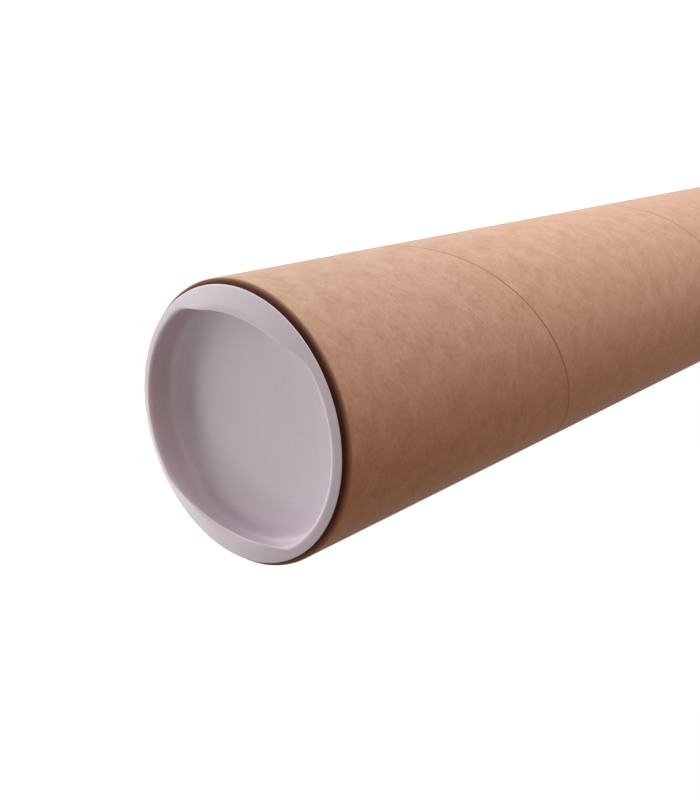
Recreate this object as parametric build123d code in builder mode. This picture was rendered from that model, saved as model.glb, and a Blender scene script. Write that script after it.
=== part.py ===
from build123d import *
import os
from math import atan2, cos, degrees, radians, sin, tan

# A spiral-wound cardboard mailing tube that stands on its end, closed by two push-in plastic caps.
# Millimetres. +Z runs up the tube's axis, and z = 0 is the surface that the lower cap's crown rests on.

# The tube
bore_diameter = 76.2
board_thickness = 3.2
tube_length = 381.0
cut_edge_bevel = 0.4

# The seam between the turns of the outer ply, which climbs the tube as a right-hand helix
winding_pitch = 143.0
seam_gap = 0.5
ply_thickness = 0.35
seam_angle = -103.0
seam_depth_at_angle = 104.0
seam_run_out = 12.0

# The lip of a cap, a low cone with a flat top, which seats on the cut end of the tube and stands proud of it
lip_overhang = 1.7
lip_under_bevel = 1.4
lip_edge_height = 1.7
lip_slope = 14.0
lip_height = 3.1

# The mouth of a cap is a circle with two opposite sides drawn in as shallow arcs, for finger and thumb
lip_width = 3.7
grip_depth = 4.8
grip_arc_radius = 70.0
grip_corner_round = 3.0
grip_turn = -33.0

# The plug of a cap, a shallow cup inside the bore
plug_clearance = 0.4
plug_wall = 1.5
recess_depth = 6.5
floor_thickness = 1.5
floor_corner_bevel = 2.2
shoulder_depth = 2.0
shoulder_draft = 0.6
lead_in_bevel = 1.0

# The barbs round a plug, which grip the bore
barb_clearance = 0.1
barb_ramp = 1.6
barb_depths = (2.0, 5.0)

# Sizes that follow from the ones above
bore_radius = bore_diameter / 2
tube_radius = bore_radius + board_thickness
lip_radius = bore_radius + lip_overhang
crown_radius = lip_radius - (lip_height - lip_edge_height) / tan(radians(lip_slope))
mouth_radius = lip_radius - lip_width
plug_radius = bore_radius - plug_clearance
plug_depth = recess_depth + floor_thickness
floor_radius = plug_radius - plug_wall
shoulder_radius = floor_radius + shoulder_draft
grip_arc_offset = grip_arc_radius - (mouth_radius - grip_depth)
barb_radius = bore_radius - barb_clearance

# Each seat is the plane of a cut end of the tube: x points to one drawn-in side, z out of the tube.
grip_direction = (cos(radians(grip_turn)), sin(radians(grip_turn)), 0)
rear_seat = Plane((0, 0, lip_height), x_dir=grip_direction, z_dir=(0, 0, -1))
front_seat = Plane((0, 0, lip_height + tube_length), x_dir=grip_direction, z_dir=(0, 0, 1))

# The seam starts just below the tube, turned so that its helix climbs through the place given for it.
seam_foot = Vector(0, 0, lip_height - seam_run_out)
seam_climb = lip_height + tube_length - seam_depth_at_angle - seam_foot.Z
seam_turn = seam_angle - 360 * seam_climb / winding_pitch
seam_height = tube_length + 2 * seam_run_out
seam = Helix(winding_pitch, seam_height, tube_radius, center=seam_foot).rotate(Axis.Z, seam_turn)


def round_outline(radius, outline, plane):
    """Draws a circle in the sketch that is open, divided at the corners of the outline it is lofted to."""
    corners = [plane.to_local_coords(vertex.center()) for vertex in outline.sketch.vertices()]
    angles = sorted(degrees(atan2(corner.Y, corner.X)) for corner in corners)
    with BuildLine() as ring:
        for start, end in zip(angles, angles[1:] + [angles[0] + 360]):
            CenterArc((0, 0), radius, start, end - start)
    make_face(ring.edges())


# The tube is one wall of glued board, with the saw-cut outer edges a little worn.
with BuildPart() as tube:
    with BuildSketch(Plane.XY.offset(lip_height)):
        Circle(tube_radius)
        Circle(bore_radius, mode=Mode.SUBTRACT)
    extrude(amount=tube_length)
    outer_edges = tube.edges().filter_by(GeomType.CIRCLE).group_by(SortBy.RADIUS)[-1]
    chamfer(outer_edges, cut_edge_bevel)
    # The seam runs out through both cut ends.
    with BuildSketch(Plane(seam @ 0, x_dir=(seam @ 0) - seam_foot, z_dir=seam % 0)):
        Rectangle(2 * ply_thickness, seam_gap)
    sweep(path=seam, is_frenet=True, mode=Mode.SUBTRACT)
tube.part.label = "tube"
finished = [tube.part]

# The two caps are the same moulding, pushed in from either end.
for cap_name, seat in (("front_cap", front_seat), ("rear_cap", rear_seat)):
    crown_plane = seat.offset(lip_height)
    shoulder_plane = seat.offset(-shoulder_depth)
    section_plane = Plane(seat.origin, x_dir=seat.x_dir, z_dir=seat.x_dir.cross(seat.z_dir))
    cap_axis = Axis(seat.origin, seat.z_dir)
    with BuildPart() as cap:
        # The plug, with a bevelled lead-in and its barbs
        with BuildSketch(section_plane) as plug:
            with Locations((0, -plug_depth)):
                Rectangle(plug_radius, plug_depth, align=(Align.MIN, Align.MIN))
            chamfer(plug.vertices().group_by(Axis.Y)[0].sort_by(Axis.X)[-1], lead_in_bevel)
            for depth in barb_depths:
                with BuildLine():
                    Polyline(
                        (plug_radius, -depth - barb_ramp),
                        (barb_radius, -depth),
                        (plug_radius, -depth),
                        close=True,
                    )
                make_face()
        revolve(axis=cap_axis)
        # The lip, which overhangs the board, is bevelled underneath and rises to the mouth
        with BuildSketch(section_plane):
            with BuildLine():
                Polyline(
                    (0, 0),
                    (lip_radius - lip_under_bevel, 0),
                    (lip_radius, lip_under_bevel),
                    (lip_radius, lip_edge_height),
                    (crown_radius, lip_height),
                    (0, lip_height),
                    close=True,
                )
            make_face()
        revolve(axis=cap_axis)
        # The hollow under the lip, from the drawn-in mouth down to the round shoulder of the recess
        with BuildSketch(crown_plane) as mouth:
            Circle(mouth_radius)
            for side in (-1, 1):
                with Locations((side * grip_arc_offset, 0)):
                    Circle(grip_arc_radius, mode=Mode.INTERSECT)
            fillet(mouth.vertices(), grip_corner_round)
        with BuildSketch(shoulder_plane):
            round_outline(shoulder_radius, mouth, crown_plane)
        loft(mode=Mode.SUBTRACT)
        # The recess, a shallow dish with a little draft and a bevelled floor corner
        with BuildSketch(section_plane) as recess:
            with BuildLine():
                Polyline(
                    (0, -recess_depth),
                    (floor_radius, -recess_depth),
                    (shoulder_radius, -shoulder_depth),
                    (0, -shoulder_depth),
                    close=True,
                )
            make_face()
            chamfer(recess.vertices().group_by(Axis.Y)[0].sort_by(Axis.X)[-1], floor_corner_bevel)
        revolve(axis=cap_axis, mode=Mode.SUBTRACT)
    cap.part.label = cap_name
    finished.append(cap.part)

os.makedirs("parts", exist_ok=True)
for piece in finished:
    export_step(piece, f"parts/{piece.label}.step")
    print(piece.label, "volume", round(piece.volume), "mm3")
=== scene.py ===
# %% [markdown]
# # A cardboard mailing tube with two push-in caps
# The real object is three pieces. The tube is paper, wound and glued in a spiral into a stiff board, and each
# end is closed by a soft plastic cap that plugs the bore. This lesson loads the solid model as a fixed frame
# and dresses it: one wound tube, two moulded caps, their finishes, and a small white studio to see them in.
# Nothing is moved or resized, so every piece is made where the frame says it is.

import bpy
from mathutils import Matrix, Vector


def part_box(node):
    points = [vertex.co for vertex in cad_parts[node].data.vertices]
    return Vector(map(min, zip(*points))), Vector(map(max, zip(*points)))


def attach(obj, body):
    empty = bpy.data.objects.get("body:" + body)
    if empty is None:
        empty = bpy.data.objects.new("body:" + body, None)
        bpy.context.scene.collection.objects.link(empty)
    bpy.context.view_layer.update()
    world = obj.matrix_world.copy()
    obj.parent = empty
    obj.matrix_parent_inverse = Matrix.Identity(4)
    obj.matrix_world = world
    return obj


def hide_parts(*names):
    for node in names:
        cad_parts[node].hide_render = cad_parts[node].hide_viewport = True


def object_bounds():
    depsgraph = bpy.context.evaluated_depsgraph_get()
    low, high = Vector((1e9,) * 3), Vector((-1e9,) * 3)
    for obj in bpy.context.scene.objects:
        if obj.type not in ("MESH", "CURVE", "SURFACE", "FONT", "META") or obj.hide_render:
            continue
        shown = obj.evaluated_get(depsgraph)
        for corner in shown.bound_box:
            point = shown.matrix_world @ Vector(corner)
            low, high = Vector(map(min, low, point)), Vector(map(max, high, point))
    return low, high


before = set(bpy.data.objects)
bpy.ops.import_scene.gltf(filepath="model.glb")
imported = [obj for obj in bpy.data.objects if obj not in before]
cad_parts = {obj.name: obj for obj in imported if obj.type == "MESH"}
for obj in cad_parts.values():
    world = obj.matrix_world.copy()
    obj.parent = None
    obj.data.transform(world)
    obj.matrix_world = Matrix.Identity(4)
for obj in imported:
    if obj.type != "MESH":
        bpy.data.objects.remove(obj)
cad_low, cad_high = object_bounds()
print("frame", sorted(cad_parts), "from", cad_low[:], "to", cad_high[:])

# %% Sizes that the whole lesson shares
from math import atan2, cos, degrees, pi, radians, sin, sqrt, tan, tau

import bmesh
import bpy
from mathutils import Quaternion, Vector

MM = 0.001

tube_low, tube_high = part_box("tube")
tube_foot = tube_low.z
tube_top = tube_high.z
tube_length = tube_top - tube_foot
tube_radius = 41.3 * MM
board_thickness = 3.2 * MM
bore_radius = tube_radius - board_thickness
print("tube", round(tube_length / MM, 2), "mm long,", round(2 * tube_radius / MM, 2), "mm across")

# %% [markdown]
# ## Three small helpers
# Colours are written as the hex values that a colour picker shows, and shaders work in linear light, so one
# function converts them. Every node tree in this lesson, for geometry or for a finish, is built with one
# function that adds a node, sets it up and links it. The third puts a finished mesh into the scene at the
# origin, because a piece carries its place in its mesh.

# %% Helpers
def linear(hex_colour):
    """An sRGB hex colour as the linear RGBA that shaders take."""
    channels = [int(hex_colour[start:start + 2], 16) / 255 for start in (1, 3, 5)]
    return [c / 12.92 if c <= 0.04045 else ((c + 0.055) / 1.055) ** 2.4 for c in channels] + [1.0]


def add(tree, kind, inputs=None, **settings):
    """Adds a node, applies its settings, and links or fills the inputs that are given."""
    node = tree.nodes.new(kind)
    for name, value in settings.items():
        setattr(node, name, value)
    for socket, value in (inputs or {}).items():
        if isinstance(value, bpy.types.NodeSocket):
            tree.links.new(value, node.inputs[socket])
        else:
            node.inputs[socket].default_value = value
    return node


def put_in_scene(name, mesh):
    """Makes an object of a mesh, at the origin."""
    piece = bpy.data.objects.new(name, mesh)
    bpy.context.scene.collection.objects.link(piece)
    return piece


print("mid grey #808080 in linear light", [round(channel, 3) for channel in linear("#808080")])

# %% [markdown]
# ## The camera
# The photograph looks down the tube's axis at about 46 degrees from quite near, with the camera rolled so far
# that the tube seems to lie on its side. The tube stands on its end here, as the real one can without rolling
# away, so the camera keeps the photograph's distance, lens and roll to the tube and simply turns with it. The
# roll is measured from a level camera, which is what a track quaternion gives.

# %% Camera
shown_end = Vector((0, 0, tube_top))
camera_place = shown_end + Vector((0, -215.9, 177.46)) * MM
camera_aim = shown_end + Vector((-2.86, -44.12, 0)) * MM
camera_roll = radians(-109.27)
camera_lens = 44.79

camera = bpy.data.objects.new("photo_camera", bpy.data.cameras.new("photo_camera"))
camera.data.lens = camera_lens
camera.data.sensor_width = 36
camera.data.clip_start = 10 * MM
camera.location = camera_place
level_turn = (camera_aim - camera_place).to_track_quat("-Z", "Y")
camera.rotation_mode = "QUATERNION"
camera.rotation_quaternion = level_turn @ Quaternion((0, 0, 1), camera_roll)
bpy.context.scene.collection.objects.link(camera)
bpy.context.scene.camera = camera
bpy.context.scene.view_settings.view_transform = "Standard"
print("camera", round((camera_aim - camera_place).length / MM), "mm from what it looks at")

# %% [markdown]
# ## The studio
# A white sweep could be modelled, but a flat floor and a white world meet without a line when both look
# equally white to the camera. Light Path tells a camera, glossy or see-through ray from the rays that carry
# light, so the floor and the world can look white without pouring white light over the object. The floor
# still takes part in the light: its diffuse half darkens where the tube stands in the way, and so it keeps
# the tube's shadow. Away from the tube its glow rises to full white, and no horizon shows. The floor rides on
# the lower cap, which the tube stands on, so a cap that is pulled out downwards isn't hidden by it.

# %% Floor
# In metres: half the floor's side, and how far out its glow starts to rise and is full white
floor_reach = 8.0
floor_fade = (0.5, 1.3)
floor_glow = 0.85
floor_colour = linear("#8E8A86")

floor_mesh = bpy.data.meshes.new("studio_floor")
floor_sides = ((-1, -1), (1, -1), (1, 1), (-1, 1))
floor_corners = [(x * floor_reach, y * floor_reach, cad_low.z) for x, y in floor_sides]
floor_mesh.from_pydata(floor_corners, [], [(0, 1, 2, 3)])
floor = put_in_scene("studio_floor", floor_mesh)

floor_paint = bpy.data.materials.new("matt_white_floor_paint")
floor_paint.use_nodes = True
floor_tree = floor_paint.node_tree
floor_tree.nodes.clear()


def seen_directly(tree):
    """One for rays that show a surface, straight or by way of gloss or glass, and nought for light."""
    path = add(tree, "ShaderNodeLightPath")
    either = add(tree, "ShaderNodeMath", {0: path.outputs["Is Camera Ray"], 1: path.outputs["Is Glossy Ray"]},
                 operation="MAXIMUM")
    return add(tree, "ShaderNodeMath", {0: either.outputs[0], 1: path.outputs["Is Transmission Ray"]},
               operation="MAXIMUM").outputs[0]


floor_place = add(floor_tree, "ShaderNodeTexCoord").outputs["Object"]
floor_way = add(floor_tree, "ShaderNodeVectorMath", {0: floor_place}, operation="LENGTH")
floor_white = add(floor_tree, "ShaderNodeMapRange", {
    "Value": floor_way.outputs["Value"], "From Min": floor_fade[0], "From Max": floor_fade[1],
    "To Min": floor_glow, "To Max": 1}, interpolation_type="SMOOTHSTEP")
glow_strength = add(floor_tree, "ShaderNodeMath", {
    0: seen_directly(floor_tree), 1: floor_white.outputs[0]}, operation="MULTIPLY")
floor_glow_node = add(floor_tree, "ShaderNodeEmission", {"Strength": glow_strength.outputs[0]})
floor_diffuse = add(floor_tree, "ShaderNodeBsdfDiffuse", {"Color": floor_colour})
floor_both = add(floor_tree, "ShaderNodeAddShader", {
    0: floor_diffuse.outputs[0], 1: floor_glow_node.outputs[0]})
add(floor_tree, "ShaderNodeOutputMaterial", {"Surface": floor_both.outputs[0]})
floor_mesh.materials.append(floor_paint)
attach(floor, "rear_cap")
print("floor at", round(cad_low.z / MM, 3), "mm, white from", floor_fade[1], "m outwards")

# %% World
world_fill = 0.05
world_white = linear("#FFFFFF")

studio_world = bpy.data.worlds.new("white_studio")
studio_world.use_nodes = True
world_tree = studio_world.node_tree
world_tree.nodes.clear()
world_strength = add(world_tree, "ShaderNodeMapRange", {
    "Value": seen_directly(world_tree), "To Min": world_fill})
world_colour = add(world_tree, "ShaderNodeBackground", {
    "Color": world_white, "Strength": world_strength.outputs[0]})
add(world_tree, "ShaderNodeOutputWorld", {"Surface": world_colour.outputs[0]})
bpy.context.scene.world = studio_world
print("world looks white and lights with", world_fill)

# %% [markdown]
# ## The lamps
# In the photograph the light falls from above the picture, which is one side of the tube: the paper goes from
# pale at its upper edge to deep brown at its lower one, with no hard line, and it stays light for longer away
# from the cap. So a wide softbox stands on that side, and a small one lower down and nearer. Two raised ones
# and one overhead reach into the cap. Two weak warm lamps across from them keep the dark side brown instead
# of grey, and a low one lights the back, which the photograph doesn't show. Each is written as the light it
# gives at the tube, where 1 renders a colour about as it is written, and its watts follow from its distance.

# %% Lamps
lamp_target = Vector((0, 0, 260)) * MM
# Name, azimuth and elevation in degrees, distance, width and height in metres, level of light, colour
lamp_plan = [
    ("wide_softbox", -15, 5, 1.1, 2.0, 0.7, 1.12, "#FFFFFF"),
    ("low_softbox", -30, -18, 0.5, 0.3, 0.16, 0.60, "#FFFFFF"),
    ("raised_softbox", 45, 30, 1.1, 0.6, 0.6, 0.43, "#FFFFFF"),
    ("raised_back_softbox", 97, 26, 1.1, 0.6, 0.6, 0.26, "#FFFFFF"),
    ("overhead_softbox", 0, 88, 1.1, 0.9, 0.9, 0.17, "#FFFFFF"),
    ("low_back_softbox", 85, -8, 1.1, 0.7, 0.2, 0.60, "#FFFFFF"),
    ("warm_fill", -120, 5, 1.1, 0.7, 0.7, 0.17, "#FFAA55"),
    ("low_warm_fill", -120, -18, 0.5, 0.3, 0.16, 0.11, "#FFC27A"),
]


def soft_lamp(name, azimuth, elevation, distance, width, height, level, colour):
    """A flat lamp that gives a surface facing it, at the target, the level of light asked for."""
    data = bpy.data.lights.new(name, "AREA")
    data.shape = "RECTANGLE"
    data.size = width
    data.size_y = height
    data.energy = level * (pi * distance) ** 2
    data.color = linear(colour)[:3]
    lamp = bpy.data.objects.new(name, data)
    around, above = radians(azimuth), radians(elevation)
    towards = Vector((cos(around) * cos(above), sin(around) * cos(above), sin(above)))
    lamp.location = lamp_target + distance * towards
    lamp.rotation_euler = towards.to_track_quat("Z", "Y").to_euler()
    lamp.visible_camera = False
    bpy.context.scene.collection.objects.link(lamp)
    return lamp


lamps = [soft_lamp(*plan) for plan in lamp_plan]
print("lamps", [(lamp.name, round(lamp.data.energy, 2)) for lamp in lamps])

# %% [markdown]
# ## The finish of the wound paper
# The outer ply is unbleached kraft liner, a strong brown paper made from long fibres. It is matt, cloudy
# where the pulp settled unevenly, lightly streaked along the direction in which it ran through the machine,
# and peppered with a few dark specks of bark. Those run with the strip and not with the tube, so the paper
# reads an attribute called "strip" that the winding stores further on: metres along the strip, and metres
# across it. A printed texture could be unwrapped instead, but noise in real sizes needs no picture and never
# repeats.

# %% Pulp of the kraft liner: clouds, flecks, and fibres drawn out along the strip
paper_colour = linear("#B4917C")
paper_pale = linear("#BE9C88")
paper_dark = linear("#A8846F")
cloud_size = 7 * MM
fleck_size = 1.6 * MM
# Single fibres are too fine to show, so these are the streaks that bundles of them make.
fibre_length = 6 * MM
fibre_width = 0.8 * MM
fleck_share = 0.75
fibre_share = 0.45
pulp_spread = 0.36

kraft = bpy.data.materials.new("unbleached_kraft_liner")
kraft.use_nodes = True
tree = kraft.node_tree
tree.nodes.clear()
strip = add(tree, "ShaderNodeAttribute", attribute_name="strip").outputs["Vector"]
clouds = add(tree, "ShaderNodeTexNoise", {
    "Vector": strip, "Scale": 1 / cloud_size, "Detail": 4, "Roughness": 0.6}, noise_dimensions="2D")
flecks = add(tree, "ShaderNodeTexNoise", {
    "Vector": strip, "Scale": 1 / fleck_size, "Detail": 3, "Roughness": 0.65}, noise_dimensions="2D")
drawn_out = add(tree, "ShaderNodeMapping", {"Vector": strip, "Scale": (1 / fibre_length, 1 / fibre_width, 1)})
fibres = add(tree, "ShaderNodeTexNoise", {
    "Vector": drawn_out.outputs[0], "Scale": 1, "Detail": 4, "Roughness": 0.6}, noise_dimensions="2D")
flecked = add(tree, "ShaderNodeMath", {0: flecks.outputs[0], 1: fleck_share, 2: clouds.outputs[0]},
              operation="MULTIPLY_ADD")
pulp = add(tree, "ShaderNodeMath", {0: fibres.outputs[0], 1: fibre_share, 2: flecked.outputs[0]},
           operation="MULTIPLY_ADD")
pulp_middle = (1 + fleck_share + fibre_share) / 2
pulp_share = add(tree, "ShaderNodeMapRange", {
    "Value": pulp.outputs[0], "From Min": pulp_middle - pulp_spread, "From Max": pulp_middle + pulp_spread})
tone = add(tree, "ShaderNodeValToRGB", {"Fac": pulp_share.outputs[0]})
tone.color_ramp.elements[0].color = paper_dark
tone.color_ramp.elements[1].color = paper_pale
tone.color_ramp.elements.new(0.5).color = paper_colour
print("paper clouds", cloud_size / MM, "mm, fibres", fibre_length / MM, "by", fibre_width / MM, "mm")

# %% A few specks of bark
speck_colour = linear("#5A3A28")
speck_spacing = 17 * MM
speck_radius = 0.35 * MM
speck_core_radius = 0.14 * MM
speck_share = 0.4

cells = add(tree, "ShaderNodeTexVoronoi", {
    "Vector": strip, "Scale": 1 / speck_spacing}, voronoi_dimensions="2D")
speck = add(tree, "ShaderNodeMapRange", {
    "Value": cells.outputs["Distance"], "From Min": speck_radius / speck_spacing,
    "From Max": speck_core_radius / speck_spacing, "To Max": speck_share})
specked = add(tree, "ShaderNodeMix", {
    0: speck.outputs[0], 6: tone.outputs[0], 7: speck_colour}, data_type="RGBA")
print("specks", 2 * speck_radius / MM, "mm across, about one to", speck_spacing / MM, "mm square")

# %% The cut edges of the strip, which the glue darkens where they meet
seam_colour = linear("#A5816C")
seam_shade = 0.3 * MM
winding_pitch = 143 * MM
winding_angle = atan2(winding_pitch, tau * tube_radius)
strip_width = winding_pitch * cos(winding_angle)

across = add(tree, "ShaderNodeSeparateXYZ", {0: strip}).outputs["Y"]
to_far_edge = add(tree, "ShaderNodeMath", {0: strip_width, 1: across}, operation="SUBTRACT")
to_edge = add(tree, "ShaderNodeMath", {0: across, 1: to_far_edge.outputs[0]}, operation="MINIMUM")
edge_share = add(tree, "ShaderNodeMapRange", {
    "Value": to_edge.outputs[0], "From Min": 2 * seam_shade, "From Max": seam_shade})
seamed = add(tree, "ShaderNodeMix", {
    0: edge_share.outputs[0], 6: specked.outputs[2], 7: seam_colour}, data_type="RGBA")
print("strip", round(strip_width / MM, 1), "mm wide, wound at", round(degrees(winding_angle), 1), "degrees")

# %% The seam of the ply underneath, which shows through as a faint ridge that comes and goes
# The ridge is a real bump in the relief, and its pale colour is a painted highlight where light catches its
# top
ridge_highlight_colour = linear("#D2B29D")
under_seam = 23.5 * MM
under_seam_width = 1.5 * MM
under_seam_fade = 30 * MM
ridge_highlight_share = 0.2
# Levels of the fading noise at which the ridge is gone, and at which it is whole
ridge_gone = 0.55
ridge_whole = 0.4

past_under = add(tree, "ShaderNodeMath", {0: across, 1: under_seam}, operation="SUBTRACT")
off_under = add(tree, "ShaderNodeMath", {0: past_under.outputs[0]}, operation="ABSOLUTE")
under_share = add(tree, "ShaderNodeMapRange", {
    "Value": off_under.outputs[0], "From Min": under_seam_width / 2, "From Max": 0},
    interpolation_type="SMOOTHSTEP")
fade = add(tree, "ShaderNodeTexNoise", {
    "Vector": strip, "Scale": 1 / under_seam_fade, "Detail": 1}, noise_dimensions="2D")
fade_share = add(tree, "ShaderNodeMapRange", {
    "Value": fade.outputs[0], "From Min": ridge_gone, "From Max": ridge_whole})
ridge = add(tree, "ShaderNodeMath", {
    0: under_share.outputs[0], 1: fade_share.outputs[0]}, operation="MULTIPLY")
# Painted highlight: the ridge is painted paler along its length
ridge_painted_highlight = add(tree, "ShaderNodeMath", {0: ridge.outputs[0], 1: ridge_highlight_share}, operation="MULTIPLY")
ridged = add(tree, "ShaderNodeMix", {
    0: ridge_painted_highlight.outputs[0], 6: seamed.outputs[2], 7: ridge_highlight_colour}, data_type="RGBA")
print("ridge", under_seam / MM, "mm from the strip's edge")

# %% Matt paper with a soft sheen of loose fibres
sheen_colour = linear("#F8E2D2")
fibre_relief = 0.05 * MM
ridge_relief = 0.1 * MM

relief = add(tree, "ShaderNodeMath", {
    0: ridge.outputs[0], 1: ridge_relief / fibre_relief, 2: pulp.outputs[0]}, operation="MULTIPLY_ADD")
paper_bump = add(tree, "ShaderNodeBump", {
    "Height": relief.outputs[0], "Distance": fibre_relief, "Strength": 0.4})
paper_shader = add(tree, "ShaderNodeBsdfPrincipled", {
    "Base Color": ridged.outputs[2], "Roughness": 0.7, "IOR": 1.5, "Specular IOR Level": 0.15,
    "Sheen Weight": 0.35, "Sheen Roughness": 0.4, "Sheen Tint": sheen_colour,
    "Normal": paper_bump.outputs[0]})
add(tree, "ShaderNodeOutputMaterial", {"Surface": paper_shader.outputs[0]})
print("kraft liner", len(tree.nodes), "nodes")

# %% [markdown]
# ## The finish of the cut board
# A saw goes through some eight plies of paper and glue. The cut is darker than the faces, because it is all
# fibre ends and glue lines. Beside the cap it is painted darker: painted shade for the shadow in the gap
# under the lip. Outside, where the edge is worn round, it fades to the colour of the paper. So the finish
# reads the distance to the tube's axis, and varies a little from ply to ply. The glue lines between the plies
# are modelled as fine grooves further on. The bore shows the innermost ply, a plainer and greyer paper.

# %% Sawn board edge
edge_worn = linear("#A27659")
edge_colour = linear("#7C4C32")
# Painted shade: the colour of the cut beside the cap, where the lip's shadow falls
edge_painted_shade = linear("#4A291B")
edge_fade = 1.5 * MM
edge_colour_stop = 0.55
edge_relief = 0.1 * MM
cut_ply = 0.4 * MM
# The fibre ends are finer than this grit, and would not show.
grit_size = 0.35 * MM
grit_levels = (0.1, 0.4)
grit_spread = 0.15

sawn_edge = bpy.data.materials.new("sawn_board_edge")
sawn_edge.use_nodes = True
tree = sawn_edge.node_tree
tree.nodes.clear()
place = add(tree, "ShaderNodeTexCoord").outputs["Object"]
flat_place = add(tree, "ShaderNodeVectorMath", {0: place, 1: (1, 1, 0)}, operation="MULTIPLY")
from_axis = add(tree, "ShaderNodeVectorMath", {0: flat_place.outputs[0]}, operation="LENGTH").outputs["Value"]
plies_out = add(tree, "ShaderNodeMath", {0: from_axis, 1: cut_ply}, operation="DIVIDE")
ply_tone = add(tree, "ShaderNodeTexNoise", {
    "W": plies_out.outputs[0], "Scale": 1, "Detail": 1}, noise_dimensions="1D")
grit = add(tree, "ShaderNodeTexNoise", {"Vector": place, "Scale": 1 / grit_size, "Detail": 3})
gritty_tone = add(tree, "ShaderNodeMath", {0: ply_tone.outputs[0], 1: grit.outputs[0]}, operation="MULTIPLY")
gritty_shift = add(tree, "ShaderNodeMapRange", {
    "Value": gritty_tone.outputs[0], "From Min": grit_levels[0], "From Max": grit_levels[1],
    "To Min": -grit_spread, "To Max": grit_spread})
# Painted shade towards the cap, fading outwards to the worn edge's own paper colour
cap_shade_to_wear = add(tree, "ShaderNodeMapRange", {
    "Value": from_axis, "From Min": tube_radius - edge_fade, "From Max": tube_radius})
edge_place = add(tree, "ShaderNodeMath", {
    0: cap_shade_to_wear.outputs[0], 1: gritty_shift.outputs[0]}, operation="ADD")
edge_tone = add(tree, "ShaderNodeValToRGB", {"Fac": edge_place.outputs[0]})
edge_tone.color_ramp.elements[0].color = edge_painted_shade
edge_tone.color_ramp.elements[1].color = edge_worn
edge_tone.color_ramp.elements.new(edge_colour_stop).color = edge_colour
edge_bump = add(tree, "ShaderNodeBump", {
    "Height": grit.outputs[0], "Distance": edge_relief, "Strength": 0.7})
edge_shader = add(tree, "ShaderNodeBsdfPrincipled", {
    "Base Color": edge_tone.outputs[0], "Roughness": 0.9, "Normal": edge_bump.outputs[0]})
add(tree, "ShaderNodeOutputMaterial", {"Surface": edge_shader.outputs[0]})
print("edge plies", round(board_thickness / cut_ply), "of", cut_ply / MM, "mm")

# %% Inner ply
inner_colour = linear("#A58468")
inner_dark = linear("#8C6E56")
inner_levels = (0.35, 0.65)

inner_ply = bpy.data.materials.new("recycled_inner_ply")
inner_ply.use_nodes = True
tree = inner_ply.node_tree
tree.nodes.clear()
place = add(tree, "ShaderNodeTexCoord").outputs["Object"]
inner_pulp = add(tree, "ShaderNodeTexNoise", {
    "Vector": place, "Scale": 1 / fleck_size, "Detail": 5, "Roughness": 0.7})
inner_share = add(tree, "ShaderNodeMapRange", {
    "Value": inner_pulp.outputs[0], "From Min": inner_levels[0], "From Max": inner_levels[1]})
inner_tone = add(tree, "ShaderNodeMix", {
    0: inner_share.outputs[0], 6: inner_dark, 7: inner_colour}, data_type="RGBA")
inner_bump = add(tree, "ShaderNodeBump", {
    "Height": inner_pulp.outputs[0], "Distance": fibre_relief, "Strength": 0.5})
inner_shader = add(tree, "ShaderNodeBsdfPrincipled", {
    "Base Color": inner_tone.outputs[2], "Roughness": 0.85, "Normal": inner_bump.outputs[0]})
add(tree, "ShaderNodeOutputMaterial", {"Surface": inner_shader.outputs[0]})
print("inner ply flecks", fleck_size / MM, "mm")

# %% [markdown]
# ## The board under the outer ply
# Under its last turn of paper the tube is a plain ring of board with a round bore. A profile turned about the
# axis gives it: the cut end with its worn outer edge, fine grooves between its plies, the bore, and the other
# cut end. It stays open on the outside, because the outer ply is wound on next and closes it.

# %% Lathed board
columns = 180
worn_edge = 0.7 * MM
worn_steps = 4
glue_line_width = 0.1 * MM
glue_line_depth = 0.07 * MM
# The outermost glue line lies in the worn edge and doesn't show.
first_glue_line = 2


def cut_end_profile():
    """The cut end from its worn outer edge to the bore, as pairs of radius and depth below the cut."""
    profile = []
    for step in range(worn_steps + 1):
        turned = pi / 2 * step / worn_steps
        profile.append((tube_radius - worn_edge * (1 - cos(turned)), worn_edge * (1 - sin(turned))))
    for ply in range(first_glue_line, round(board_thickness / cut_ply)):
        glue_line = tube_radius - ply * cut_ply
        profile.append((glue_line + glue_line_width / 2, 0))
        profile.append((glue_line, glue_line_depth))
        profile.append((glue_line - glue_line_width / 2, 0))
    return profile + [(bore_radius, 0)]


def ring(radius, height):
    """The points of one circle round the tube's axis."""
    turns = [tau * column / columns for column in range(columns)]
    return [(radius * cos(turn), radius * sin(turn), height) for turn in turns]


lower_end = [(radius, tube_foot + depth) for radius, depth in cut_end_profile()]
upper_end = [(radius, tube_top - depth) for radius, depth in reversed(cut_end_profile())]
board_points = []
for radius, height in lower_end + upper_end:
    board_points.extend(ring(radius, height))
board_faces = []
for row in range(len(lower_end + upper_end) - 1):
    for column in range(columns):
        beside = (column + 1) % columns
        first, second = row * columns, (row + 1) * columns
        board_faces.append((first + column, second + column, second + beside, first + beside))
board_mesh = bpy.data.meshes.new("lathed_board")
board_mesh.from_pydata(board_points, [], board_faces)
board_mesh.materials.append(sawn_edge)
board_mesh.materials.append(inner_ply)
bore_row = len(lower_end) - 1
for face in board_mesh.polygons:
    face.material_index = 1 if face.index // columns == bore_row else 0
print("board", len(board_points), "points,", len(lower_end), "rings at each cut end")

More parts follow.
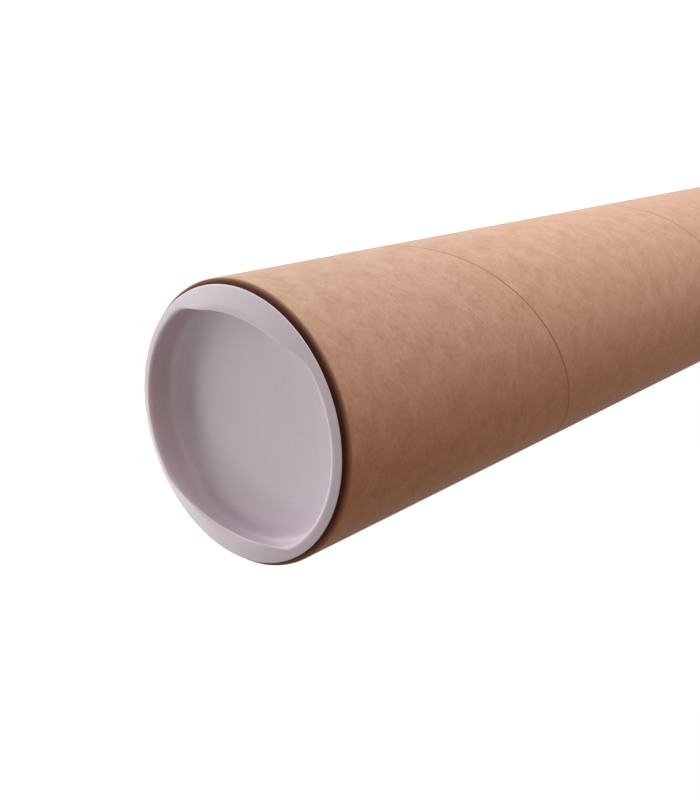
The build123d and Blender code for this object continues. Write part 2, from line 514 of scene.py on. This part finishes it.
# %% [markdown]
# ## Winding the outer ply
# The outer ply is one long strip that climbs the tube as a helix, and its edges meet in a fine seam. That is
# a rule, so Geometry Nodes wind it. A flat grid is the unrolled paper: its columns go round the tube, and its
# rows run along the strip, so each row climbs by one pitch in a turn and the grid's two sides meet again one
# turn higher. At every turn four rows stand close together and the middle two drop a little, which is the
# seam, nearly filled with glue. Rows that would pass the tube's ends are held at them, and a merge closes
# them. Each face corner also stores where it lies on the strip, which is what the paper's finish reads: kept
# on points, it would be averaged with the board's where the two merge. A screw modifier could wind a profile
# too, but it has no say over where the strip ends.

# %% Sizes of the winding
seam_gap = 0.5 * MM
seam_drop = 0.12 * MM
seam_azimuth = radians(-103)
seam_depth = 104 * MM
seam_height = tube_length - seam_depth
seam_rows = 3
rows_per_turn = 30
turns_below = 2
spare_turns = 4
# The grid starts some turns below the foot, at a height from which the seam climbs through the place above.
seam_at_zero = (seam_height - seam_azimuth / tau * winding_pitch) % winding_pitch
winding_start = seam_at_zero - seam_gap / 2 - turns_below * winding_pitch
grid_turns = int(tube_length // winding_pitch) + spare_turns

winding_inputs = {
    "Radius": tube_radius,
    "Foot": tube_foot,
    "Length": tube_length,
    "Worn": worn_edge,
    "Pitch": winding_pitch,
    "Gap": seam_gap,
    "Drop": seam_drop,
    "Start": winding_start,
    "Angle": winding_angle,
    "Columns": columns,
    "Rows": rows_per_turn,
    "Turns": grid_turns,
    "Paper": kraft,
}
print("winding", grid_turns, "turns of grid, starting at", round(winding_start / MM, 1), "mm")

# %% Inputs of the winding tree
socket_kinds = {float: "NodeSocketFloat", int: "NodeSocketInt", bpy.types.Material: "NodeSocketMaterial"}
winding = bpy.data.node_groups.new("wind_outer_ply", "GeometryNodeTree")
winding.interface.new_socket("Geometry", in_out="INPUT", socket_type="NodeSocketGeometry")
winding.interface.new_socket("Geometry", in_out="OUTPUT", socket_type="NodeSocketGeometry")
identifiers = {}
for name, value in winding_inputs.items():
    socket = winding.interface.new_socket(name, in_out="INPUT", socket_type=socket_kinds[type(value)])
    identifiers[name] = socket.identifier
given = add(winding, "NodeGroupInput").outputs
flat_point = add(winding, "GeometryNodeInputPosition")
flat = add(winding, "ShaderNodeSeparateXYZ", {0: flat_point.outputs[0]}).outputs
print("inputs", list(identifiers))

# %% The winding rule, one sum to a line
# Each line names a number and says how it follows from those above it. The grid is 1 by 1 about its middle.
held_within = 0.0001 * MM
winding_rule = [
    ("row steps", "MULTIPLY", "Turns", "Rows"),
    ("grid rows", "ADD", "row steps", 1),
    ("grid columns", "ADD", "Columns", 1),
    # Which row and turn a point of the grid is in, and its share of the way round
    ("round", "ADD", "flat x", 0.5),
    ("up", "ADD", "flat y", 0.5),
    ("row", "MULTIPLY", "up", "row steps"),
    ("whole row", "ROUND", "row"),
    ("mid row", "ADD", "whole row", 0.5),
    ("turns up", "DIVIDE", "mid row", "Rows"),
    ("turn", "FLOOR", "turns up"),
    ("rows below", "MULTIPLY", "turn", "Rows"),
    ("turn row", "SUBTRACT", "whole row", "rows below"),
    # The first rows of a turn share the seam's gap, and the others share the paper
    ("seam row", "MINIMUM", "turn row", seam_rows),
    ("seam share", "DIVIDE", "seam row", seam_rows),
    ("over seam", "MULTIPLY", "seam share", "Gap"),
    ("rows past seam", "SUBTRACT", "turn row", seam_rows),
    ("paper row", "MAXIMUM", "rows past seam", 0),
    ("paper rows", "SUBTRACT", "Rows", seam_rows),
    ("paper share", "DIVIDE", "paper row", "paper rows"),
    ("paper height", "SUBTRACT", "Pitch", "Gap"),
    ("into turn", "MULTIPLY_ADD", "paper share", "paper height", "over seam"),
    # Every row climbs by one pitch in a turn, and is held at the ends of the tube
    ("climb", "MULTIPLY_ADD", "round", "Pitch", "Start"),
    ("turn height", "MULTIPLY_ADD", "turn", "Pitch", "into turn"),
    ("free height", "ADD", "climb", "turn height"),
    ("top", "SUBTRACT", "Length", "Worn"),
    ("above foot", "MAXIMUM", "free height", "Worn"),
    ("height", "MINIMUM", "above foot", "top"),
    ("on tube", "COMPARE", "height", "free height", held_within),
    # The two middle rows of the seam drop below the paper
    ("from mid seam", "SUBTRACT", "turn row", seam_rows / 2),
    ("off mid seam", "ABSOLUTE", "from mid seam"),
    ("in seam", "LESS_THAN", "off mid seam", 1),
    ("seam on tube", "MULTIPLY", "in seam", "on tube"),
    ("drop", "MULTIPLY", "seam on tube", "Drop"),
    ("wall radius", "SUBTRACT", "Radius", "drop"),
    # The grid is wrapped round the tube's axis
    ("azimuth", "MULTIPLY", "round", tau),
    ("cosine", "COSINE", "azimuth"),
    ("sine", "SINE", "azimuth"),
    ("x", "MULTIPLY", "wall radius", "cosine"),
    ("y", "MULTIPLY", "wall radius", "sine"),
    ("z", "ADD", "height", "Foot"),
    # Where the point lies on the strip: the older turn of paper ends in mid seam, and the newer starts there
    ("strip height", "SUBTRACT", "height", "climb"),
    ("older side", "LESS_THAN", "turn row", seam_rows / 2),
    ("free turn", "SUBTRACT", "turn", "older side"),
    ("held share", "DIVIDE", "strip height", "Pitch"),
    ("held turn", "FLOOR", "held share"),
    ("turns past", "SUBTRACT", "free turn", "held turn"),
    ("strip turn", "MULTIPLY_ADD", "turns past", "on tube", "held turn"),
    ("pitches", "MULTIPLY", "strip turn", "Pitch"),
    ("above edge", "SUBTRACT", "strip height", "pitches"),
    ("strip round", "ADD", "strip turn", "round"),
    ("girth", "MULTIPLY", "Radius", tau),
    ("level way", "MULTIPLY", "strip round", "girth"),
    ("strip cosine", "COSINE", "Angle"),
    ("strip sine", "SINE", "Angle"),
    ("winding way", "DIVIDE", "level way", "strip cosine"),
    ("along strip", "MULTIPLY_ADD", "above edge", "strip sine", "winding way"),
    ("across strip", "MULTIPLY", "above edge", "strip cosine"),
]
known = {**{name: given[name] for name in winding_inputs}, "flat x": flat["X"], "flat y": flat["Y"]}
for name, operation, *terms in winding_rule:
    sum_inputs = [known[term] if isinstance(term, str) else term for term in terms]
    known[name] = add(winding, "ShaderNodeMath", dict(enumerate(sum_inputs)), operation=operation).outputs[0]
print("winding rule", len(winding_rule), "sums")

# %% Wrapping the paper and joining it to the board
merge_reach = 0.003 * MM

paper_grid = add(winding, "GeometryNodeMeshGrid", {
    "Size X": 1, "Size Y": 1, "Vertices X": known["grid columns"], "Vertices Y": known["grid rows"]})
on_strip = add(winding, "ShaderNodeCombineXYZ", {"X": known["along strip"], "Y": known["across strip"]})
on_wall = add(winding, "ShaderNodeCombineXYZ", {"X": known["x"], "Y": known["y"], "Z": known["z"]})
with_strip = add(winding, "GeometryNodeStoreNamedAttribute", {
    "Geometry": paper_grid.outputs["Mesh"], "Name": "strip", "Value": on_strip.outputs[0]},
    data_type="FLOAT_VECTOR", domain="CORNER")
with_mark = add(winding, "GeometryNodeStoreNamedAttribute", {
    "Geometry": with_strip.outputs[0], "Name": "outer_ply", "Value": True},
    data_type="BOOLEAN", domain="FACE")
wound = add(winding, "GeometryNodeSetPosition", {
    "Geometry": with_mark.outputs[0], "Position": on_wall.outputs[0]})
both = add(winding, "GeometryNodeJoinGeometry", {"Geometry": given["Geometry"]})
winding.links.new(wound.outputs[0], both.inputs["Geometry"])
closed = add(winding, "GeometryNodeMergeByDistance", {
    "Geometry": both.outputs[0], "Distance": merge_reach})
real = add(winding, "GeometryNodeRealizeInstances", {"Geometry": closed.outputs[0]})
is_paper = add(winding, "GeometryNodeInputNamedAttribute", {"Name": "outer_ply"}, data_type="BOOLEAN")
papered = add(winding, "GeometryNodeSetMaterial", {
    "Geometry": real.outputs[0], "Selection": is_paper.outputs[0], "Material": given["Paper"]})
add(winding, "NodeGroupOutput", {0: papered.outputs[0]})
print("winding tree", len(winding.nodes), "nodes")

# %% Two helpers for a finished mesh
def sharp_over(mesh, angle):
    """Shades a mesh smooth, apart from edges that turn by more than the angle."""
    mesh.shade_smooth()
    mesh.set_sharp_from_angle(angle=angle)


def face_outwards(mesh):
    """Turns the faces of a closed mesh outwards, and gives its count of open edges and its volume."""
    work = bmesh.new()
    work.from_mesh(mesh)
    bmesh.ops.recalc_face_normals(work, faces=work.faces)
    open_edges = sum(not edge.is_manifold for edge in work.edges)
    volume = work.calc_volume(signed=True)
    work.to_mesh(mesh)
    work.free()
    return open_edges, volume


print("board has", len(board_mesh.polygons), "faces before it is wound")

# %% Wind it, and keep the result as a plain mesh
tube_sharp_angle = radians(35)

lathed_board = put_in_scene("lathed_board", board_mesh)
wind = lathed_board.modifiers.new("wind_outer_ply", "NODES")
wind.node_group = winding
for name, value in winding_inputs.items():
    wind[identifiers[name]] = value
depsgraph = bpy.context.evaluated_depsgraph_get()
evaluated = lathed_board.evaluated_get(depsgraph)
tube_mesh = bpy.data.meshes.new_from_object(evaluated, preserve_all_data_layers=True, depsgraph=depsgraph)
tube_mesh.name = "wound_tube"
# The flat grid came without a finish, and leaves an empty slot.
tube_mesh.materials.pop(index=tube_mesh.materials[:].index(None))
bpy.data.objects.remove(lathed_board)
wound_tube = put_in_scene("wound_tube", tube_mesh)
tube_open_edges, tube_volume = face_outwards(tube_mesh)
sharp_over(tube_mesh, tube_sharp_angle)
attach(wound_tube, "tube")
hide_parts("tube")
print("tube", len(tube_mesh.polygons), "faces,", tube_open_edges, "open edges,",
      round(tube_volume / MM ** 3), "mm3")
print("tube materials", [finish.name for finish in tube_mesh.materials])

# %% [markdown]
# ## The finish of the caps
# The caps are injection moulded in white low-density polyethylene, the soft waxy plastic of lids and
# stoppers. It is a little translucent, so light bleeds round its thin edges, and its gloss is broad and low
# because the mould is lightly eroded. Seen close it isn't quite even: the melt leaves faint clouds.

# %% White polyethylene
cap_white = linear("#E4D6DE")
cap_cloud = linear("#DBCDD5")
melt_cloud_size = 16 * MM
# The grain of a real mould is finer, and would not show.
mould_grain = 0.5 * MM
mould_relief = 0.01 * MM
roughness_range = (0.40, 0.52)
light_bleed = 1.5 * MM

polyethylene = bpy.data.materials.new("moulded_white_polyethylene")
polyethylene.use_nodes = True
tree = polyethylene.node_tree
tree.nodes.clear()
place = add(tree, "ShaderNodeTexCoord").outputs["Object"]
melt = add(tree, "ShaderNodeTexNoise", {"Vector": place, "Scale": 1 / melt_cloud_size, "Detail": 2})
melt_mix = add(tree, "ShaderNodeMix", {0: melt.outputs[0], 6: cap_cloud, 7: cap_white}, data_type="RGBA")
grain = add(tree, "ShaderNodeTexNoise", {"Vector": place, "Scale": 1 / mould_grain, "Detail": 2})
grain_bump = add(tree, "ShaderNodeBump", {
    "Height": grain.outputs[0], "Distance": mould_relief, "Strength": 0.4})
cap_roughness = add(tree, "ShaderNodeMapRange", {
    "Value": melt.outputs[0], "To Min": roughness_range[0], "To Max": roughness_range[1]})
cap_shader = add(tree, "ShaderNodeBsdfPrincipled", {
    "Base Color": melt_mix.outputs[2], "Roughness": cap_roughness.outputs[0], "IOR": 1.51,
    "Subsurface Weight": 0.15, "Subsurface Radius": (1.0, 0.9, 0.85), "Subsurface Scale": light_bleed,
    "Normal": grain_bump.outputs[0]})
add(tree, "ShaderNodeOutputMaterial", {"Surface": cap_shader.outputs[0]})
print("cap clouds", melt_cloud_size / MM, "mm, mould grain", mould_grain / MM, "mm")

# %% [markdown]
# ## The moulded caps
# A cap is a shallow cup that plugs the bore, with barbs round it that grip, and a lip that seats on the cut
# end. All of that is round, so one profile turned about the axis would do, but for the mouth: there two
# opposite sides are drawn in, for a finger and a thumb. The top of the lip is a low cone, so the mouth's edge
# climbs where it is drawn in, up to a flat crown. Elsewhere it is a soft bead. So each column of the mesh
# gets a profile of its own, which depends on one number, how far the mouth is drawn in there. Every corner is
# rounded, because a moulded edge always catches a soft line of light.

# %% Outline of the drawn-in mouth
lip_overhang = 1.7 * MM
lip_width = 3.7 * MM
lip_radius = bore_radius + lip_overhang
mouth_radius = lip_radius - lip_width
grip_depth = 4.8 * MM
grip_arc_radius = 70.0 * MM
grip_blend = 0.8 * MM
grip_azimuth = radians(-33)
cap_columns = 240


def drawn_in(azimuth):
    """How far the mouth lies inside its circle at an azimuth, with a soft start to each drawn-in side."""
    arc_centre = grip_arc_radius - (mouth_radius - grip_depth)
    across_grip = abs(cos(azimuth - grip_azimuth))
    along_grip = sin(azimuth - grip_azimuth)
    arc_reach = sqrt(grip_arc_radius ** 2 - (arc_centre * along_grip) ** 2) - arc_centre * across_grip
    past_arc = mouth_radius - arc_reach
    return (past_arc + sqrt(past_arc ** 2 + grip_blend ** 2)) / 2


azimuths = [tau * column / cap_columns for column in range(cap_columns)]
mouth_depths = [drawn_in(azimuth) for azimuth in azimuths]
print("mouth drawn in by up to", round(max(mouth_depths) / MM, 2), "mm over",
      sum(depth > grip_blend for depth in mouth_depths), "of", cap_columns, "columns")

# %% Sizes of the lip and the plug
crown_height = cad_high.z - tube_top
lip_edge = 1.7 * MM
lip_slope = tan(radians(14))
crown_radius = lip_radius - (crown_height - lip_edge) / lip_slope
bead_width = 3.5 * MM
under_bevel = 1.4 * MM
plug_clearance = 0.4 * MM
plug_wall = 1.5 * MM
plug_radius = bore_radius - plug_clearance
floor_radius = plug_radius - plug_wall
shoulder_draft = 0.6 * MM
shoulder_radius = floor_radius + shoulder_draft
shoulder_depth = 2.0 * MM
recess_depth = 6.5 * MM
floor_thickness = 1.5 * MM
plug_depth = recess_depth + floor_thickness
lead_in = 1.0 * MM
barb_clearance = 0.1 * MM
barb_radius = bore_radius - barb_clearance
barb_ramp = 1.6 * MM
barb_depths = (5.0 * MM, 2.0 * MM)
print("cap lip", round(2 * lip_radius / MM, 1), "mm across, plug", round(plug_depth / MM, 1), "mm deep")

# %% Profile of a cap
# How far along the profile each rounding reaches from its corner
plug_rounding = 0.3 * MM
barb_rounding = 0.08 * MM
seat_rounding = 0.2 * MM
under_rounding = 0.4 * MM
lip_rounding = 0.8 * MM
mouth_rounding = 2.4 * MM
shoulder_rounding = 0.8 * MM
floor_rounding = 3.2 * MM
# A rounding takes less than half of a side, so that two on one side never meet.
side_share = 0.48
corner_steps = 6


def lip_height(radius):
    """The height of the top of the lip at a radius: a cone up to the flat crown."""
    return min(crown_height, lip_edge + (lip_radius - radius) * lip_slope)


def cap_corners(depth):
    """Corners of a profile whose mouth is drawn in by a depth: radius, height and reach of the rounding."""
    mouth = mouth_radius - depth
    # The bead narrows as the mouth is drawn in, and gives way to the flat crown.
    crown = max(crown_radius, mouth + bead_width - depth)
    corners = [
        (plug_radius - lead_in, -plug_depth, plug_rounding),
        (plug_radius, lead_in - plug_depth, plug_rounding),
    ]
    for barb_depth in barb_depths:
        corners.append((plug_radius, -barb_depth - barb_ramp, plug_rounding))
        corners.append((barb_radius, -barb_depth, barb_rounding))
        corners.append((plug_radius, -barb_depth, barb_rounding))
    return corners + [
        (plug_radius, 0, seat_rounding),
        (lip_radius - under_bevel, 0, seat_rounding),
        (lip_radius, under_bevel, under_rounding),
        (lip_radius, lip_edge, lip_rounding),
        (crown, lip_height(crown), lip_rounding),
        (mouth, lip_height(mouth), mouth_rounding),
        (shoulder_radius, -shoulder_depth, shoulder_rounding),
        (floor_radius, -recess_depth, floor_rounding),
    ]


def rounded(corners, start, end):
    """Rounds the corners of a profile from its start to its end, with a small curve at each."""
    path = [Vector(start)]
    stops = [Vector(start)] + [Vector(corner[:2]) for corner in corners] + [Vector(end)]
    for before, at, after, (_, _, reach) in zip(stops, stops[1:], stops[2:], corners):
        arriving = (before - at) * min(side_share, reach / (before - at).length)
        leaving = (after - at) * min(side_share, reach / (after - at).length)
        for step in range(corner_steps + 1):
            share = step / corner_steps
            path.append(at + arriving * (1 - share) ** 2 + leaving * share ** 2)
    return path + [Vector(end)]


cap_profiles = [rounded(cap_corners(depth), (0, -plug_depth), (0, -recess_depth)) for depth in mouth_depths]
print("cap profile", len(cap_corners(0)), "corners,", len(cap_profiles[0]), "rings")

# %% A cap, and its place at either end
cap_sharp_angle = radians(50)


def moulded_cap(name, seat, outwards):
    """A closed cap whose lip seats at a height and whose crown points up (1) or down (-1)."""
    rings = len(cap_profiles[0]) - 2
    points = [(0, 0, seat - outwards * plug_depth)]
    for ring_index in range(1, rings + 1):
        for azimuth, profile in zip(azimuths, cap_profiles):
            radius, height = profile[ring_index]
            points.append((radius * cos(azimuth), radius * sin(azimuth), seat + outwards * height))
    points.append((0, 0, seat - outwards * recess_depth))
    faces = []
    for column in range(cap_columns):
        beside = (column + 1) % cap_columns
        faces.append((0, 1 + beside, 1 + column))
        for row in range(rings - 1):
            first, second = 1 + row * cap_columns, 1 + (row + 1) * cap_columns
            faces.append((first + column, first + beside, second + beside, second + column))
        last = 1 + (rings - 1) * cap_columns
        faces.append((last + column, last + beside, len(points) - 1))
    mesh = bpy.data.meshes.new(name)
    mesh.from_pydata(points, [], faces)
    mesh.materials.append(polyethylene)
    open_edges, volume = face_outwards(mesh)
    sharp_over(mesh, cap_sharp_angle)
    print(name, len(faces), "faces,", open_edges, "open edges,", round(volume / MM ** 3), "mm3")
    return put_in_scene(name, mesh)


for body, seat, outwards in (("front_cap", tube_top, 1), ("rear_cap", tube_foot, -1)):
    cap = moulded_cap("moulded_" + body, seat, outwards)
    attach(cap, body)
    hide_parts(body)
